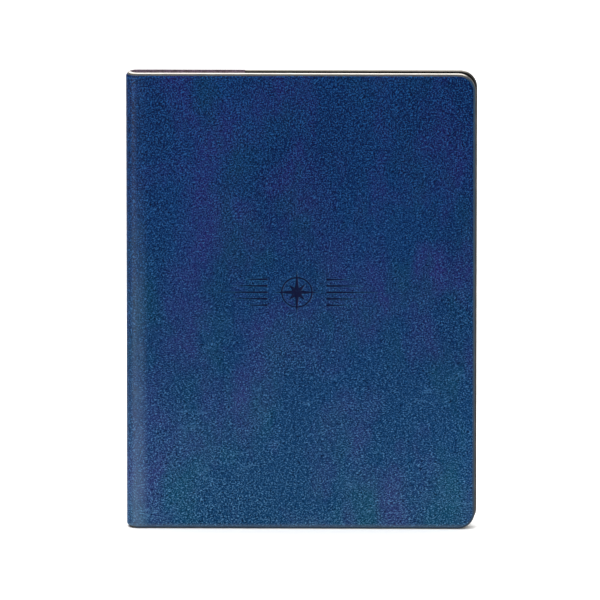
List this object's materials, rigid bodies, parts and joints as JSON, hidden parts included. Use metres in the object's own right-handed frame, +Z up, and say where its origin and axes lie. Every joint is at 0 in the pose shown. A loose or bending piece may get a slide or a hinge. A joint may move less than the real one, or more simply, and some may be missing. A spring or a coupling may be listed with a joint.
{
  "type": "pilot logbook",
  "caption": "Slim soft-cover logbook standing upright: one blue leatherette wrap round a sewn block; spine rolls flat, pages fan out, front cover folds back.",
  "frame": {"origin": "middle of the closed book at the level of its tail edge, which it stands on", "axes": "+Z up along the spine, -Y out of the front cover, -X out of the spine, +X out of the fore-edge"},
  "size_m": [0.1905, 0.013, 0.254],
  "materials": {
    "blue_leatherette": "fine pebble grain, semi-matt, mottled",
    "cover_core": "cut and bevelled edge, cream to taupe",
    "purple_suede": "short suede nap",
    "black_lining": "matt smooth",
    "black_endpaper": "uncoated black paper",
    "cream_paper": "uncoated ruled paper",
    "mull_cloth": "open gauze",
    "binding_glue": "milky",
    "sewing_thread": "twisted linen"
  },
  "bodies": {
    "back_cover": {"back_cover_skin": "blue_leatherette", "back_cover_core": "cover_core", "back_cover_liner": "purple_suede", "back_cover_lining": "black_lining", "back_endpaper": "black_endpaper"},
    "spine_slat_1": {"spine_skin_1": "blue_leatherette", "spine_core_1": "cover_core", "spine_liner_1": "purple_suede", "mull_1": "mull_cloth", "glue_1": "binding_glue", "thread_1": "sewing_thread", "section_1": "cream_paper"},
    "spine_slat_2": {"spine_skin_2": "blue_leatherette", "spine_core_2": "cover_core", "spine_liner_2": "purple_suede", "mull_2": "mull_cloth", "glue_2": "binding_glue", "thread_2": "sewing_thread", "section_2": "cream_paper"},
    "spine_slat_3": {"spine_skin_3": "blue_leatherette", "spine_core_3": "cover_core", "spine_liner_3": "purple_suede", "mull_3": "mull_cloth", "glue_3": "binding_glue", "thread_3": "sewing_thread", "section_3": "cream_paper"},
    "spine_slat_4": {"spine_skin_4": "blue_leatherette", "spine_core_4": "cover_core", "spine_liner_4": "purple_suede", "mull_4": "mull_cloth", "glue_4": "binding_glue", "thread_4": "sewing_thread", "section_4": "cream_paper"},
    "spine_slat_5": {"spine_skin_5": "blue_leatherette", "spine_core_5": "cover_core", "spine_liner_5": "purple_suede", "mull_5": "mull_cloth", "glue_5": "binding_glue", "thread_5": "sewing_thread", "section_5": "cream_paper"},
    "front_joint": {"front_joint_skin": "blue_leatherette", "front_joint_core": "cover_core", "front_joint_liner": "purple_suede", "front_endpaper": "black_endpaper"},
    "front_cover": {"front_cover_skin": "blue_leatherette", "front_cover_core": "cover_core", "front_cover_liner": "purple_suede", "front_cover_lining": "black_lining"},
    "leaf_1": {"leaf_1": "cream_paper"},
    "leaf_2": {"leaf_2": "cream_paper"},
    "leaf_3": {"leaf_3": "cream_paper"},
    "leaf_4": {"leaf_4": "cream_paper"},
    "leaf_5": {"leaf_5": "cream_paper"},
    "leaf_6": {"leaf_6": "cream_paper"},
    "leaf_7": {"leaf_7": "cream_paper"},
    "leaf_8": {"leaf_8": "cream_paper"}
  },
  "joints": [
    {"name": "spine_bend_1", "type": "hinge", "parent": "back_cover", "child": "spine_slat_1", "pos_m": [-0.08875, 0.0065, 0], "axis": [0, 0, -1], "range_deg": [0, 18]},
    {"name": "book_open", "type": "hinge", "parent": "spine_slat_1", "child": "spine_slat_2", "pos_m": [-0.09257, 0.00526, 0], "axis": [0, 0, -1], "range_deg": [0, 36]},
    {"name": "spine_bend_3", "type": "hinge", "parent": "spine_slat_2", "child": "spine_slat_3", "pos_m": [-0.09493, 0.00201, 0], "axis": [0, 0, -1], "range_deg": [0, 36]},
    {"name": "spine_bend_4", "type": "hinge", "parent": "spine_slat_3", "child": "spine_slat_4", "pos_m": [-0.09493, -0.00201, 0], "axis": [0, 0, -1], "range_deg": [0, 36]},
    {"name": "spine_bend_5", "type": "hinge", "parent": "spine_slat_4", "child": "spine_slat_5", "pos_m": [-0.09257, -0.00526, 0], "axis": [0, 0, -1], "range_deg": [0, 36]},
    {"name": "spine_bend_6", "type": "hinge", "parent": "spine_slat_5", "child": "front_joint", "pos_m": [-0.08875, -0.0065, 0], "axis": [0, 0, -1], "range_deg": [0, 18]},
    {"name": "cover_fold_back", "type": "hinge", "parent": "front_joint", "child": "front_cover", "pos_m": [-0.08025, -0.0069, 0], "axis": [0, 0, -1], "range_deg": [0, 178]},
    {"name": "leaf_1_turn", "type": "hinge", "parent": "spine_slat_1", "child": "leaf_1", "pos_m": [-0.08845, 0.00218, 0], "axis": [0, 0, -1], "range_deg": [0, 12]},
    {"name": "leaf_2_turn", "type": "hinge", "parent": "spine_slat_1", "child": "leaf_2", "pos_m": [-0.08845, 0.00203, 0], "axis": [0, 0, -1], "range_deg": [0, 24]},
    {"name": "leaf_3_turn", "type": "hinge", "parent": "spine_slat_2", "child": "leaf_3", "pos_m": [-0.08845, 0.00082, 0], "axis": [0, 0, -1], "range_deg": [0, 12]},
    {"name": "leaf_4_turn", "type": "hinge", "parent": "spine_slat_2", "child": "leaf_4", "pos_m": [-0.08845, 0.00067, 0], "axis": [0, 0, -1], "range_deg": [0, 24]},
    {"name": "leaf_5_turn", "type": "hinge", "parent": "spine_slat_3", "child": "leaf_5", "pos_m": [-0.08845, -0.00055, 0], "axis": [0, 0, -1], "range_deg": [0, 12]},
    {"name": "leaf_6_turn", "type": "hinge", "parent": "spine_slat_3", "child": "leaf_6", "pos_m": [-0.08845, -0.0007, 0], "axis": [0, 0, -1], "range_deg": [0, 24]},
    {"name": "leaf_7_turn", "type": "hinge", "parent": "spine_slat_4", "child": "leaf_7", "pos_m": [-0.08845, -0.00191, 0], "axis": [0, 0, -1], "range_deg": [0, 12]},
    {"name": "leaf_8_turn", "type": "hinge", "parent": "spine_slat_4", "child": "leaf_8", "pos_m": [-0.08845, -0.00206, 0], "axis": [0, 0, -1], "range_deg": [0, 24]}
  ],
  "couplings": [
    {"joint": "leaf_1_turn", "follows": "book_open", "ratio": 0.33333},
    {"joint": "leaf_2_turn", "follows": "book_open", "ratio": 0.66667},
    {"joint": "leaf_3_turn", "follows": "book_open", "ratio": 0.33333},
    {"joint": "leaf_4_turn", "follows": "book_open", "ratio": 0.66667},
    {"joint": "leaf_5_turn", "follows": "book_open", "ratio": 0.33333},
    {"joint": "leaf_6_turn", "follows": "book_open", "ratio": 0.66667},
    {"joint": "leaf_7_turn", "follows": "book_open", "ratio": 0.33333},
    {"joint": "leaf_8_turn", "follows": "book_open", "ratio": 0.66667},
    {"joint": "spine_bend_1", "follows": "book_open", "ratio": 0.5},
    {"joint": "spine_bend_3", "follows": "book_open", "ratio": 1},
    {"joint": "spine_bend_4", "follows": "book_open", "ratio": 1},
    {"joint": "spine_bend_5", "follows": "book_open", "ratio": 1},
    {"joint": "spine_bend_6", "follows": "book_open", "ratio": 0.5}
  ]
}
